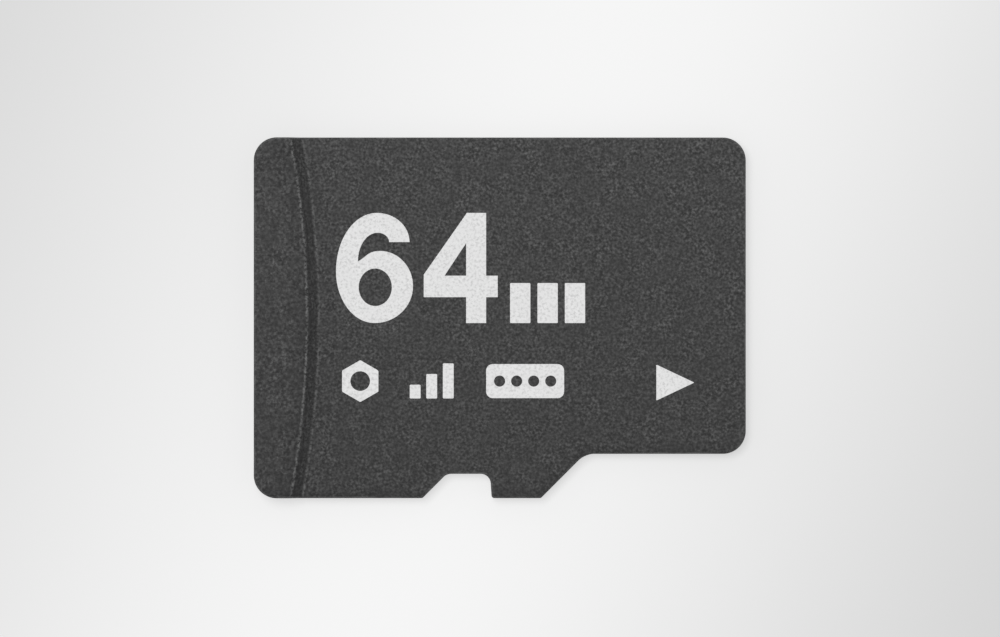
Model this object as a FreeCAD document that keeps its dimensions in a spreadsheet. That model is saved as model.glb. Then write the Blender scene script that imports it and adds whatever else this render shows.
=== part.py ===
"""Micro memory card: a thin stepped plate that slides into a socket, contacts first.

A laminate substrate carries the chips, and a moulding covers them and forms the thumb lip.
Frame: +X points at the insertion edge, the latch notch is on the -Y side, +Z is the printed face.
The origin is the middle of the card's overall rectangle, on its underside. Lengths are millimetres.
"""
import FreeCAD, Part
import math
import os
import Sketcher

# Driving dimensions: millimetres, degrees for the ramp angle and the lean, and plain counts.
SIZES = {
    # Outline, seen from above
    "card_length": 15.0,
    "card_width": 11.0,
    "corner_radius": 0.7,
    "ramp_angle": 45.0,
    "edge_break": 0.08,
    # Step that narrows the insertion end
    "step_from_front": 6.25,
    "step_depth": 1.35,
    "step_radius": 0.65,
    # Latch notch behind the step, with a tongue between the two
    "tongue_length": 1.5,
    "notch_width": 1.32,
    "notch_depth": 0.74,
    "notch_wall_lean": 4.0,
    "notch_radius": 0.3,
    # Layers, from the underside up
    "substrate_thickness": 0.2,
    "film_thickness": 0.03,
    "memory_thickness": 0.12,
    "controller_thickness": 0.12,
    "wire_loop_height": 0.12,
    "mould_cover": 0.23,
    "rim_round": 0.05,
    # Thumb lip along the trailing edge
    "lip_rise": 0.3,
    "lip_length": 1.6,
    "lip_slope_run": 0.3,
    "lip_arc_radius": 30.0,
    "lip_crest_round": 0.08,
    "lip_foot_round": 0.12,
    # Contacts on the underside
    "contact_side_margin": 0.575,
    "contact_spacing": 0.3,
    "contact_rear_from_front": 4.0,
    "signal_contact_length": 2.9,
    "supply_contact_length": 3.7,
    "contact_thickness": 0.03,
    "contact_recess": 0.01,
    "contact_corner_radius": 0.1,
    "contact_window_gap": 0.04,
    # Footprints on the substrate
    "mould_wall": 0.6,
    "bond_shelf": 0.6,
    "controller_length": 2.4,
    "controller_width": 3.2,
    # Bond wires
    "wire_width": 0.03,
    "wire_inset": 0.12,
    "wire_landing_margin": 0.24,
    "wire_landing_height": 0.06,
    "wire_end_margin": 0.3,
    "memory_wire_count": 14,
    "controller_wire_count": 9,
    # Chip capacitors beside the controller
    "capacitor_length": 0.6,
    "capacitor_width": 0.3,
    "capacitor_height": 0.22,
    "capacitor_end_length": 0.15,
    "capacitor_end_thickness": 0.01,
    "capacitor_gap": 0.35,
}

# Places and sizes that several pieces share, as formulas on the sheet.
FRONT_X = "sizes.card_length / 2"
FRONT_WIDTH = "(sizes.card_width - sizes.step_depth)"
FRONT_MIDDLE_Y = "sizes.step_depth / 2"
SEAT_Z = "sizes.substrate_thickness"
CHIP_Z = f"({SEAT_Z} + sizes.film_thickness)"
FACE_Z = f"({CHIP_Z} + sizes.memory_thickness + sizes.wire_loop_height + sizes.mould_cover)"
CONTROLLER_FRONT_X = f"({FRONT_X} - sizes.mould_wall - sizes.bond_shelf)"
CONTROLLER_REAR_X = f"({CONTROLLER_FRONT_X} - sizes.controller_length)"
MEMORY_FRONT_X = f"({CONTROLLER_REAR_X} - 2 * sizes.bond_shelf)"
MEMORY_REAR_X = f"(sizes.mould_wall - {FRONT_X})"
MEMORY_WIDTH = f"({FRONT_WIDTH} - 2 * sizes.mould_wall)"
NOTCH_WALL_SHIFT = "sizes.notch_depth * tan(sizes.notch_wall_lean)"

# Vertical edges of the outline: the corners that share a radius, and the radius within its walls.
EDGE_BREAK = "min(sizes.edge_break; sizes.notch_depth / 4)"
OUTLINE_ROUNDS = {
    "outer_corners": (
        ("trailing_notch_side", "leading_notch_side", "leading_plain_side", "trailing_plain_side"),
        "sizes.corner_radius"),
    "step_corner": (
        ("step_ramp_top",),
        "sizes.step_radius"),
    "notch_corners": (
        ("notch_ramp_top", "notch_wall_top"),
        "min(sizes.notch_radius; sizes.notch_depth / 2; sizes.notch_width / 2)"),
    "broken_corners": (
        ("notch_ramp_foot", "notch_wall_foot", "step_ramp_foot"),
        EDGE_BREAK),
}
# The rim's rounding stays smaller than the smallest corner it runs round.
RIM_ROUND = f"min(sizes.rim_round; {EDGE_BREAK} * 3 / 4)"

# The eight contacts in order from the notch side. The two supply contacts reach further forward.
CONTACTS = (
    ("contact_1_data_2", "sizes.signal_contact_length"),
    ("contact_2_data_3", "sizes.signal_contact_length"),
    ("contact_3_command", "sizes.signal_contact_length"),
    ("contact_4_supply", "sizes.supply_contact_length"),
    ("contact_5_clock", "sizes.signal_contact_length"),
    ("contact_6_ground", "sizes.supply_contact_length"),
    ("contact_7_data_0", "sizes.signal_contact_length"),
    ("contact_8_data_1", "sizes.signal_contact_length"),
)
CONTACT_ROW = f"({FRONT_WIDTH} - 2 * sizes.contact_side_margin)"
CONTACT_PITCH = f"(({CONTACT_ROW} + sizes.contact_spacing) / {len(CONTACTS)})"

# The capacitors: which side of the controller each is on, and its place outwards from it.
CAPACITORS = {
    "capacitor_1": (-1, 1),
    "capacitor_2": (-1, 0),
    "capacitor_3": (1, 0),
    "capacitor_4": (1, 1),
}

SKETCH_ORIGIN = (-1, 1)  # the sketcher's number for a sketch's own origin
SAME_PLACE = 1e-4  # two places closer than this are one

doc = FreeCAD.newDocument("memory_card")


def make_sheet():
    """The spreadsheet that every other object reads its sizes from."""
    sheet = doc.addObject("Spreadsheet::Sheet", "sizes")
    for row, (alias, number) in enumerate(SIZES.items(), start=1):
        sheet.set(f"A{row}", alias)
        sheet.set(f"B{row}", str(number))
        sheet.setAlias(f"B{row}", alias)
    doc.recompute()
    return sheet


sizes = make_sheet()


# Sketches


def new_sketch(body, name, plane_role, **offsets):
    """A sketch on one of the body's own origin planes, moved along the sketch's axes by formulas."""
    sketch = body.newObject("Sketcher::SketchObject", name)
    plane = next(feature for feature in body.Origin.OriginFeatures if feature.Role == plane_role)
    sketch.AttachmentSupport = [(plane, "")]
    sketch.MapMode = "FlatFace"
    for axis, formula in offsets.items():
        sketch.setExpression(f"AttachmentOffset.Base.{axis}", formula)
    return sketch


def add_lines(sketch, points, closed):
    """Straight lines through the points, joined end to end. Returns their numbers in the sketch."""
    corners = [FreeCAD.Vector(x, y, 0) for x, y in points]
    ends = corners[1:] + corners[:1] if closed else corners[1:]
    lines = [sketch.addGeometry(Part.LineSegment(*pair), False) for pair in zip(corners, ends)]
    followers = lines[1:] + lines[:1] if closed else lines[1:]
    for line, follower in zip(lines, followers):
        sketch.addConstraint(Sketcher.Constraint("Coincident", line, 2, follower, 1))
    return lines


def constrain(sketch, kind, *lines):
    for line in lines:
        sketch.addConstraint(Sketcher.Constraint(kind, line))


def dimension(sketch, kind, geometry, formula):
    """A dimension of the sketch, driven by a formula."""
    number = sketch.addConstraint(Sketcher.Constraint(kind, *geometry, 1.0))
    sketch.setExpression(f"Constraints[{number}]", formula)


def place_point(sketch, line, end, x, y):
    """Ties one end of a line to formulas for its place in the sketch."""
    dimension(sketch, "DistanceX", (*SKETCH_ORIGIN, line, end), x)
    dimension(sketch, "DistanceY", (*SKETCH_ORIGIN, line, end), y)


def add_rectangle(sketch, low_x, high_x, low_y, high_y):
    """An upright rectangle whose sides are formulas."""
    bottom, right, top, left = add_lines(sketch, [(0, 0), (1, 0), (1, 1), (0, 1)], closed=True)
    constrain(sketch, "Horizontal", bottom, top)
    constrain(sketch, "Vertical", right, left)
    place_point(sketch, bottom, 1, low_x, low_y)
    place_point(sketch, top, 1, high_x, high_y)


def outline_corners():
    """The outline's corners before rounding, anticlockwise from the trailing corner beside the notch."""
    front = sizes.card_length / 2
    side = sizes.card_width / 2
    slope = math.tan(math.radians(sizes.ramp_angle))
    step_rear = front - sizes.step_from_front
    step_side = sizes.step_depth - side
    notch_mouth = step_rear - sizes.tongue_length
    notch_front = notch_mouth - sizes.notch_depth * math.tan(math.radians(sizes.notch_wall_lean))
    notch_rear = notch_front - sizes.notch_width
    notch_floor = sizes.notch_depth - side
    return {
        "trailing_notch_side": (-front, -side),
        "notch_ramp_foot": (notch_rear - sizes.notch_depth / slope, -side),
        "notch_ramp_top": (notch_rear, notch_floor),
        "notch_wall_top": (notch_front, notch_floor),
        "notch_wall_foot": (notch_mouth, -side),
        "step_ramp_foot": (step_rear, -side),
        "step_ramp_top": (step_rear + sizes.step_depth / slope, step_side),
        "leading_notch_side": (front, step_side),
        "leading_plain_side": (front, side),
        "trailing_plain_side": (-front, side),
    }


def draw_outline(sketch):
    """The card's outline with sharp corners, fully dimensioned."""
    (rear_edge, notch_ramp, notch_floor, notch_wall, tongue_edge, step_ramp, step_edge, front_edge,
     plain_edge, trailing_edge) = add_lines(sketch, outline_corners().values(), closed=True)
    constrain(sketch, "Horizontal", rear_edge, notch_floor, tongue_edge, step_edge, plain_edge)
    constrain(sketch, "Vertical", front_edge, trailing_edge)
    for ramp in (notch_ramp, step_ramp):
        dimension(sketch, "Angle", (ramp,), "sizes.ramp_angle")
    place_point(sketch, rear_edge, 1, f"-{FRONT_X}", "-sizes.card_width / 2")
    place_point(sketch, front_edge, 2, FRONT_X, "sizes.card_width / 2")
    sketch.addConstraint(Sketcher.Constraint("Horizontal", rear_edge, 2, tongue_edge, 1))
    dimension(sketch, "DistanceX", (tongue_edge, 2, front_edge, 1), "sizes.step_from_front")
    dimension(sketch, "DistanceY", (step_ramp, 1, step_ramp, 2), "sizes.step_depth")
    dimension(sketch, "DistanceX", (tongue_edge, 1, tongue_edge, 2), "sizes.tongue_length")
    dimension(sketch, "DistanceX", (notch_floor, 1, notch_floor, 2), "sizes.notch_width")
    dimension(sketch, "DistanceY", (notch_wall, 2, notch_wall, 1), "sizes.notch_depth")
    dimension(sketch, "DistanceX", (notch_wall, 1, notch_wall, 2), NOTCH_WALL_SHIFT)


# Solid features


def new_body(label):
    body = doc.addObject("PartDesign::Body", label)
    body.Label = label
    return body


def add_pad(body, sketch, length):
    """Pads a sketch upwards by a formula."""
    pad = body.newObject("PartDesign::Pad", f"{sketch.Name}_pad")
    pad.Profile = sketch
    pad.setExpression("Length", length)
    doc.recompute()


def round_edges(body, name, radius, is_chosen):
    """Rounds those edges of the body's last feature that the test picks out."""
    base = body.Tip
    edges = [f"Edge{number}" for number, edge in enumerate(base.Shape.Edges, start=1) if is_chosen(edge)]
    rounding = body.newObject("PartDesign::Fillet", name)
    rounding.Base = (base, edges)
    rounding.setExpression("Radius", radius)
    doc.recompute()


def is_upright(edge):
    start, end = edge.Vertexes[0].Point, edge.Vertexes[-1].Point
    return math.hypot(end.x - start.x, end.y - start.y) < SAME_PLACE < abs(end.z - start.z)


def card_slab(label, bottom, thickness):
    """A body with the card's outline and rounded corners."""
    body = new_body(label)
    sketch = new_sketch(body, "card_outline", "XY_Plane", z=bottom)
    draw_outline(sketch)
    add_pad(body, sketch, thickness)
    corners = outline_corners()
    for name, (corner_names, radius) in OUTLINE_ROUNDS.items():
        places = [corners[corner] for corner in corner_names]

        def is_at_corner(edge):
            foot = edge.Vertexes[0].Point
            nearest = min(math.dist(place, (foot.x, foot.y)) for place in places)
            return is_upright(edge) and nearest < SAME_PLACE

        round_edges(body, name, radius, is_at_corner)
    return body


def new_box(label, low_corner, sides):
    """A plain block whose low corner and sides are formulas."""
    box = doc.addObject("Part::Box", label)
    box.Label = label
    for axis, formula in zip("xyz", low_corner):
        box.setExpression(f"Placement.Base.{axis}", formula)
    for side, formula in zip(("Length", "Width", "Height"), sides):
        box.setExpression(side, formula)
    return box


def new_fusion(label, pieces):
    fusion = doc.addObject("Part::MultiFuse", label)
    fusion.Label = label
    fusion.Shapes = pieces
    fusion.Refine = True
    doc.recompute()
    return fusion


# Substrate and contacts


def contact_sides(place, length, gap):
    """The four sides of a contact, or of its window, where gap is the clearance round the contact."""
    low_y = f"{FRONT_MIDDLE_Y} - {CONTACT_ROW} / 2 + {place} * {CONTACT_PITCH}"
    rear_x = f"{FRONT_X} - sizes.contact_rear_from_front"
    return (
        f"{rear_x} - {gap}",
        f"{rear_x} + {length} + {gap}",
        f"{low_y} - {gap}",
        f"{low_y} + {CONTACT_PITCH} - sizes.contact_spacing + {gap}",
    )


def make_substrate():
    """The laminate under the whole card, with a shallow window for each contact in its underside."""
    body = card_slab("substrate", "0", SEAT_Z)
    sketch = new_sketch(body, "contact_windows", "XY_Plane")
    for place, (_, length) in enumerate(CONTACTS):
        add_rectangle(sketch, *contact_sides(place, length, "sizes.contact_window_gap"))
    windows = body.newObject("PartDesign::Pocket", "contact_windows_pocket")
    windows.Profile = sketch
    windows.Reversed = True
    windows.setExpression("Length", "sizes.contact_recess + sizes.contact_thickness")
    doc.recompute()
    return body


def make_contact(place, label, length):
    """One plated contact, seated on the roof of its window and just short of the underside."""
    body = new_body(label)
    sketch = new_sketch(body, "contact_outline", "XY_Plane", z="sizes.contact_recess")
    add_rectangle(sketch, *contact_sides(place, length, "0"))
    add_pad(body, sketch, "sizes.contact_thickness")
    round_edges(body, "contact_corners", "sizes.contact_corner_radius", is_upright)
    return body


# Chips, capacitors and bond wires


def make_chip(label, rear_x, length, width, thickness):
    """A chip and the attach film that holds it on the substrate."""
    low_y = f"{FRONT_MIDDLE_Y} - {width} / 2"
    film = new_box(f"{label}_film", (rear_x, low_y, SEAT_Z), (length, width, "sizes.film_thickness"))
    chip = new_box(label, (rear_x, low_y, CHIP_Z), (length, width, thickness))
    doc.recompute()
    return [film, chip]


def make_capacitor(label, side, place):
    """A chip capacitor: a ceramic block with a slightly larger metal end at each end."""
    spacing = "(sizes.capacitor_width + sizes.capacitor_gap)"
    distance = f"(sizes.controller_width / 2 + {spacing} * {place + 1} - sizes.capacitor_width / 2)"
    low_y = f"{FRONT_MIDDLE_Y} + {side} * {distance} - sizes.capacitor_width / 2"
    rear_x = f"{CONTROLLER_REAR_X} + (sizes.controller_length - sizes.capacitor_length) / 2"
    front_end_x = f"{rear_x} + sizes.capacitor_length - sizes.capacitor_end_length"
    width, height, skin = "sizes.capacitor_width", "sizes.capacitor_height", "sizes.capacitor_end_thickness"
    ceramic = new_box(
        f"{label}_ceramic",
        (rear_x, f"{low_y} + {skin}", f"{SEAT_Z} + {skin}"),
        ("sizes.capacitor_length", f"{width} - 2 * {skin}", f"{height} - 2 * {skin}"))
    end_sides = ("sizes.capacitor_end_length", width, height)
    rear_end = new_box(f"{label}_rear_end", (rear_x, low_y, SEAT_Z), end_sides)
    front_end = new_box(f"{label}_front_end", (front_end_x, low_y, SEAT_Z), end_sides)
    return new_fusion(label, [ceramic, rear_end, front_end])


def make_bond_wires(label, chip_edge, outward, chip_thickness, row_width, count):
    """A row of wires that rise from a chip, cross its edge and come down on the bond shelf beside it.

    chip_edge is the edge's place along the card, and outward is 1 on its insertion side and -1 behind it."""
    body = new_body(label)
    body.AllowCompound = True
    half = "sizes.wire_width / 2"
    first_y = f"({FRONT_MIDDLE_Y} - {row_width} / 2 + sizes.wire_end_margin)"
    chip_top = f"({CHIP_Z} + {chip_thickness})"
    start_x = f"{chip_edge} - {outward} * sizes.wire_inset"
    landing_x = f"{chip_edge} + {outward} * (sizes.bond_shelf - sizes.wire_landing_margin)"
    section = new_sketch(body, "wire_section", "XY_Plane", z=chip_top)
    add_rectangle(
        section, f"{start_x} - {half}", f"{start_x} + {half}", f"{first_y} - {half}", f"{first_y} + {half}")
    path = new_sketch(body, "wire_path", "XZ_Plane", z=f"-{first_y}")
    rise, _, landing = add_lines(path, [(0, 0), (0, 2), (outward, 1), (outward, 0)], closed=False)
    place_point(path, rise, 1, start_x, chip_top)
    place_point(path, rise, 2, start_x, f"{chip_top} + sizes.wire_loop_height - {half}")
    place_point(path, landing, 1, landing_x, f"{SEAT_Z} + sizes.wire_landing_height")
    place_point(path, landing, 2, landing_x, SEAT_Z)
    doc.recompute()
    wire = body.newObject("PartDesign::AdditivePipe", "wire")
    wire.Profile = section
    wire.Spine = path
    wire.Transition = "Right corner"
    doc.recompute()
    row = body.newObject("PartDesign::LinearPattern", "wire_row")
    row.Originals = [wire]
    across = next(feature for feature in body.Origin.OriginFeatures if feature.Role == "Y_Axis")
    row.Direction = (across, [""])
    row.setExpression("Length", f"{row_width} - 2 * sizes.wire_end_margin")
    row.setExpression("Occurrences", f"sizes.{count}")
    body.Tip = row
    doc.recompute()
    return body


# Moulding


def cut_lip_front(body):
    """Cuts the printed face down in front of the lip, with a slope that curves round a far upright axis."""
    crest = sizes.lip_arc_radius
    foot = sizes.lip_arc_radius + sizes.lip_slope_run
    axis_x = f"sizes.lip_length - sizes.lip_arc_radius - {FRONT_X}"
    section = new_sketch(body, "lip_front", "XZ_Plane", x=axis_x)
    floor_line, end_line, roof_line, slope_line = add_lines(
        section, [(foot, 0), (foot + 1, 0), (foot + 1, 1), (crest, 1)], closed=True)
    constrain(section, "Horizontal", floor_line, roof_line)
    constrain(section, "Vertical", end_line)
    place_point(section, floor_line, 1, "sizes.lip_arc_radius + sizes.lip_slope_run", FACE_Z)
    roof_z = f"{FACE_Z} + 2 * sizes.lip_rise"
    place_point(section, slope_line, 1, "sizes.lip_arc_radius - sizes.lip_slope_run", roof_z)
    dimension(section, "DistanceX", (floor_line, 1, floor_line, 2), "sizes.card_length")
    groove = body.newObject("PartDesign::Groove", "lip_front_groove")
    groove.Profile = section
    groove.ReferenceAxis = (section, ["V_Axis"])
    groove.Angle = 360
    doc.recompute()


def make_moulding_blank():
    """The moulding before its cavities: the card's outline, the curved thumb lip and a rounded rim."""
    body = card_slab("moulding_blank", SEAT_Z, f"{FACE_Z} + sizes.lip_rise - {SEAT_Z}")
    cut_lip_front(body)

    def round_arc(name, arc_radius, radius):
        def is_arc(edge):
            return isinstance(edge.Curve, Part.Circle) and abs(edge.Curve.Radius - arc_radius) < SAME_PLACE
        round_edges(body, name, radius, is_arc)

    round_arc("lip_crest", sizes.lip_arc_radius, "sizes.lip_crest_round")
    round_arc("lip_foot", sizes.lip_arc_radius + sizes.lip_slope_run, "sizes.lip_foot_round")
    round_edges(body, "rim", RIM_ROUND, lambda edge: is_rim(edge, body.Tip.Shape))
    return body


def is_rim(edge, shape):
    """True on the upper edge of the moulding's side walls."""
    if is_upright(edge) or edge.BoundBox.ZMin < sizes.substrate_thickness + SAME_PLACE:
        return False
    return any(is_side_wall(face) for face in shape.ancestorsOfType(edge, Part.Face))


def is_side_wall(face):
    low, high = face.ParameterRange[0::2], face.ParameterRange[1::2]
    normal = face.normalAt((low[0] + high[0]) / 2, (low[1] + high[1]) / 2)
    return abs(normal.z) < SAME_PLACE


def make_moulding(embedded):
    """The finished moulding, which fills the card round the pieces on the substrate."""
    moulding = doc.addObject("Part::Cut", "moulded_body")
    moulding.Label = "moulded_body"
    moulding.Base = make_moulding_blank()
    moulding.Tool = new_fusion("embedded_pieces", embedded)
    doc.recompute()
    return moulding


# The card


def make_embedded():
    """Everything that stands on the substrate inside the moulding."""
    pieces = make_chip(
        "memory_chip", MEMORY_REAR_X, f"{MEMORY_FRONT_X} - {MEMORY_REAR_X}", MEMORY_WIDTH,
        "sizes.memory_thickness")
    pieces += make_chip(
        "controller_chip", CONTROLLER_REAR_X, "sizes.controller_length", "sizes.controller_width",
        "sizes.controller_thickness")
    pieces += [make_capacitor(label, *place) for label, place in CAPACITORS.items()]
    pieces.append(make_bond_wires(
        "memory_bond_wires", MEMORY_FRONT_X, 1, "sizes.memory_thickness", MEMORY_WIDTH,
        "memory_wire_count"))
    for label, edge, outward in (
            ("controller_front_wires", CONTROLLER_FRONT_X, 1),
            ("controller_rear_wires", CONTROLLER_REAR_X, -1)):
        pieces.append(make_bond_wires(
            label, edge, outward, "sizes.controller_thickness", "sizes.controller_width",
            "controller_wire_count"))
    return pieces


def check_document(pieces):
    """Stops before anything is written if a feature failed or a piece is not a sound solid."""
    for item in doc.Objects:
        if {"Invalid", "Error"} & set(item.State):
            raise RuntimeError(f"{item.Label} did not build: {item.State}")
    for piece in pieces:
        if piece.Shape.isNull() or not piece.Shape.isValid() or not piece.Shape.Solids:
            raise RuntimeError(f"{piece.Label} is not a sound solid")


def main():
    contacts = [make_contact(place, label, length) for place, (label, length) in enumerate(CONTACTS)]
    embedded = make_embedded()
    pieces = [make_substrate(), make_moulding(embedded), *contacts, *embedded]
    check_document(pieces)
    os.makedirs("parts", exist_ok=True)
    for piece in pieces:
        piece.Shape.exportStep(f"parts/{piece.Label}.step")
        print(f"{piece.Label}: {len(piece.Shape.Solids)} solids, {piece.Shape.Volume:.5f} mm3")


main()
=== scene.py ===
import math

import bmesh
import bpy
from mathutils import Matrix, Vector


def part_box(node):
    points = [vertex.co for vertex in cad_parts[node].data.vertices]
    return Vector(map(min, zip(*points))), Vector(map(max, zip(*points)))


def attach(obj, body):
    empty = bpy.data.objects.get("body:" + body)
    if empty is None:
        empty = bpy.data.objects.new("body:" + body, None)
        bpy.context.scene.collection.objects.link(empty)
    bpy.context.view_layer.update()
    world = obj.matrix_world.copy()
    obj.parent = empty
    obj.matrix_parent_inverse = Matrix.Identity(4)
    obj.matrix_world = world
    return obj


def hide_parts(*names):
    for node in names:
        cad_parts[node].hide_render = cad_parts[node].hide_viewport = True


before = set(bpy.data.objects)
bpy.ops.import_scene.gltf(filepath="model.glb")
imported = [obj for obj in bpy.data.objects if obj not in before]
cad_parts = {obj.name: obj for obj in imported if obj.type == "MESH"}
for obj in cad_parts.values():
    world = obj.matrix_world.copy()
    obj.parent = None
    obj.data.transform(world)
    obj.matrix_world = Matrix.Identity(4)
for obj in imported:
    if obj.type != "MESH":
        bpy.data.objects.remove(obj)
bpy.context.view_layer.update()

MM = 0.001


def node_box(node):
    """A node's lowest and highest corners, in millimetres."""
    low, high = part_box(node)
    return low / MM, high / MM


CARD_LOW, CARD_HIGH = node_box("moulded_body")
LAMINATE_LOW, LAMINATE_HIGH = node_box("substrate")
REAR, NOTCH_SIDE, SEAT = CARD_LOW
FRONT, PLAIN_SIDE, LIP_TOP = CARD_HIGH
CARD_LENGTH = FRONT - REAR
CARD_WIDTH = PLAIN_SIDE - NOTCH_SIDE
CARD_MIDDLE = (CARD_LOW + CARD_HIGH) / 2

# The card's outline, seen from above
CORNER_RADIUS = 0.7
STEP_FROM_FRONT = 6.25
STEP_DEPTH = 1.35
STEP_RADIUS = 0.65
TONGUE_LENGTH = 1.5
NOTCH_WIDTH = 1.32
NOTCH_DEPTH = 0.74
NOTCH_RADIUS = 0.3
NOTCH_WALL_LEAN = math.radians(4)
BROKEN_RADIUS = 0.08

# Where the outline's step and notch lie
STEP_REAR = FRONT - STEP_FROM_FRONT
STEP_SIDE = NOTCH_SIDE + STEP_DEPTH
STEP_RAMP_TOP = STEP_REAR + STEP_DEPTH
NOTCH_FLOOR = NOTCH_SIDE + NOTCH_DEPTH
NOTCH_MOUTH = STEP_REAR - TONGUE_LENGTH
NOTCH_FRONT = NOTCH_MOUTH - NOTCH_DEPTH * math.tan(NOTCH_WALL_LEAN)
NOTCH_REAR = NOTCH_FRONT - NOTCH_WIDTH
NOTCH_RAMP_FOOT = NOTCH_REAR - NOTCH_DEPTH

# What is cut out of the outline: lines that bound each cut-out, with normals that point into it
RAMP_NORMAL = Vector((1, -1, 0)).normalized()
SIDE_NORMAL = Vector((0, -1, 0))
WALL_NORMAL = Vector((-math.cos(NOTCH_WALL_LEAN), -math.sin(NOTCH_WALL_LEAN), 0))
STEP_LINES = (
    (Vector((STEP_REAR, NOTCH_SIDE, 0)), RAMP_NORMAL),
    (Vector((FRONT, STEP_SIDE, 0)), SIDE_NORMAL),
)
NOTCH_LINES = (
    (Vector((NOTCH_REAR, NOTCH_FLOOR, 0)), RAMP_NORMAL),
    (Vector((NOTCH_REAR, NOTCH_FLOOR, 0)), SIDE_NORMAL),
    (Vector((NOTCH_MOUTH, NOTCH_SIDE, 0)), WALL_NORMAL),
)

# Corners of the outline that share a rounding: their places, radius, turn and number of steps
RAMP_TURN = math.radians(45)
SQUARE_TURN = math.radians(90)
WALL_TURN = SQUARE_TURN - NOTCH_WALL_LEAN
OUTER_CORNERS = ((REAR, NOTCH_SIDE), (REAR, PLAIN_SIDE), (FRONT, PLAIN_SIDE), (FRONT, STEP_SIDE))
RAMP_FEET = ((STEP_REAR, NOTCH_SIDE), (NOTCH_RAMP_FOOT, NOTCH_SIDE))
OUTLINE_ROUNDS = (
    (OUTER_CORNERS, CORNER_RADIUS, SQUARE_TURN, 16),
    (((STEP_RAMP_TOP, STEP_SIDE),), STEP_RADIUS, RAMP_TURN, 10),
    (((NOTCH_REAR, NOTCH_FLOOR),), NOTCH_RADIUS, RAMP_TURN, 8),
    (((NOTCH_FRONT, NOTCH_FLOOR),), NOTCH_RADIUS, WALL_TURN, 12),
    (((NOTCH_MOUTH, NOTCH_SIDE),), BROKEN_RADIUS, WALL_TURN, 4),
    (RAMP_FEET, BROKEN_RADIUS, RAMP_TURN, 3),
)

# The thumb lip: its front is an arc about an upright axis far behind the card
FACE_HEIGHT = 0.7
LIP_RISE = LIP_TOP - FACE_HEIGHT
LIP_LENGTH = 1.6
LIP_CREST_ARC = 30.0
LIP_SLOPE_RUN = 0.3
LIP_FOOT_ARC = LIP_CREST_ARC + LIP_SLOPE_RUN
LIP_AXIS_X = REAR + LIP_LENGTH - LIP_CREST_ARC
LIP_SWEEP = math.radians(24)
SLOPE_TURN = math.radians(45)
CREST_RADIUS = 0.08
FOOT_RADIUS = 0.12
RIM_RADIUS = 0.05

# The underside
LOWER_EDGE_BREAK = 0.02
WINDOW_GAP = 0.04
CONTACT_CORNER = 0.1
CONTACT_EDGE_BREAK = 0.006
CONTACT_NODES = sorted(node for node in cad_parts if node.startswith("contact_"))

# Pieces that the moulding holds, by finish
CHIP_NODES = ("memory_chip", "controller_chip")
FILM_NODES = ("memory_chip_film", "controller_chip_film")
CAPACITOR_NODES = ("capacitor_1", "capacitor_2", "capacitor_3", "capacitor_4")
WIRE_NODES = ("memory_bond_wires", "controller_front_wires", "controller_rear_wires")

# The ink, which stands proud of the face and reaches a little into it
INK_PROUD = 0.008
INK_SUNK = 0.002
INK_FOOT = FACE_HEIGHT - INK_SUNK
INK_TOP = FACE_HEIGHT + INK_PROUD
INK_MIDDLE = (INK_FOOT + INK_TOP) / 2
INK_THICKNESS = INK_TOP - INK_FOOT
PUNCH_HEIGHT = 10 * INK_THICKNESS

# What is printed, and where it lies on the face
NUMBER_CORNER = Vector((-5.0, -0.16))
DIGIT_SIZE = Vector((2.35, 3.36))
DIGIT_PITCH = 2.63
BLOCK_CORNER = Vector((0.31, -0.16))
BLOCK_SIZE = Vector((0.62, 1.22))
BLOCK_PITCH = 0.835
BLOCK_COUNT = 3
SIGN_MIDDLE_Y = -1.93
NUT_MIDDLE_X = -4.26
NUT_SIDES = 6
NUT_RADIUS = 0.64
NUT_HOLE_RADIUS = 0.3
STAIR_CORNER = Vector((-2.75, -2.46))
STAIR_SIZE = Vector((0.33, 0.42))
STAIR_PITCH = 0.505
STAIR_RISE = 0.325
STAIR_COUNT = 3
BAR_MIDDLE_X = 0.77
BAR_SIZE = Vector((2.38, 1.04))
BAR_CORNER = 0.2
BAR_HOLE_RADIUS = 0.17
BAR_HOLE_PITCH = 0.52
BAR_HOLE_COUNT = 4
ARROW_REAR = 4.77
ARROW_MIDDLE_Y = -1.975
ARROW_SIDES = 3
ARROW_SIZE = Vector((1.16, 1.1))
PRINT_CORNER = 0.03

# How finely round forms are divided
LIP_STEPS = 40
EDGE_STEPS = 4
BREAK_STEPS = 2
CONTACT_STEPS = 6
BLOCK_STEPS = 5
SIGN_STEPS = 3
DIGIT_STEPS = 16
HOLE_SIDES = 48
ROUND_PROFILE = 0.5

# How near points are merged, and how near places and lengths count as the same
MERGE_REACH = 1e-5
SAME_PLACE = 1e-3
SAME_LENGTH = 0.01

# How much of a normal points up or down: at most for a wall, and at least for what faces that way
WALL_RISE = 0.1
FACING_RISE = 0.5

# Turns up to which an edge is shaded smooth, and up to which it is taken out as flat
SMOOTH_ANGLE = math.radians(35)
FLAT_ANGLE = math.radians(1)


# Modelling steps that several pieces share


def leave_edit_mode():
    if bpy.context.mode != "OBJECT":
        bpy.ops.object.mode_set(mode="OBJECT")


def make_active(piece):
    """Leaves this piece alone selected, in object mode."""
    leave_edit_mode()
    bpy.ops.object.select_all(action="DESELECT")
    piece.select_set(True)
    bpy.context.view_layer.objects.active = piece


def settle():
    """Puts the active object's size and place into its mesh."""
    bpy.ops.object.transform_apply(location=True, rotation=True, scale=True)


def begin(add_primitive, name, scale=(1, 1, 1), **settings):
    """Adds a primitive by itself at its size and place, and opens it for editing."""
    leave_edit_mode()
    bpy.ops.object.select_all(action="DESELECT")
    add_primitive(**settings)
    piece = bpy.context.object
    piece.name = piece.data.name = name
    piece.scale = scale
    settle()
    bpy.ops.object.mode_set(mode="EDIT")
    return piece


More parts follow.
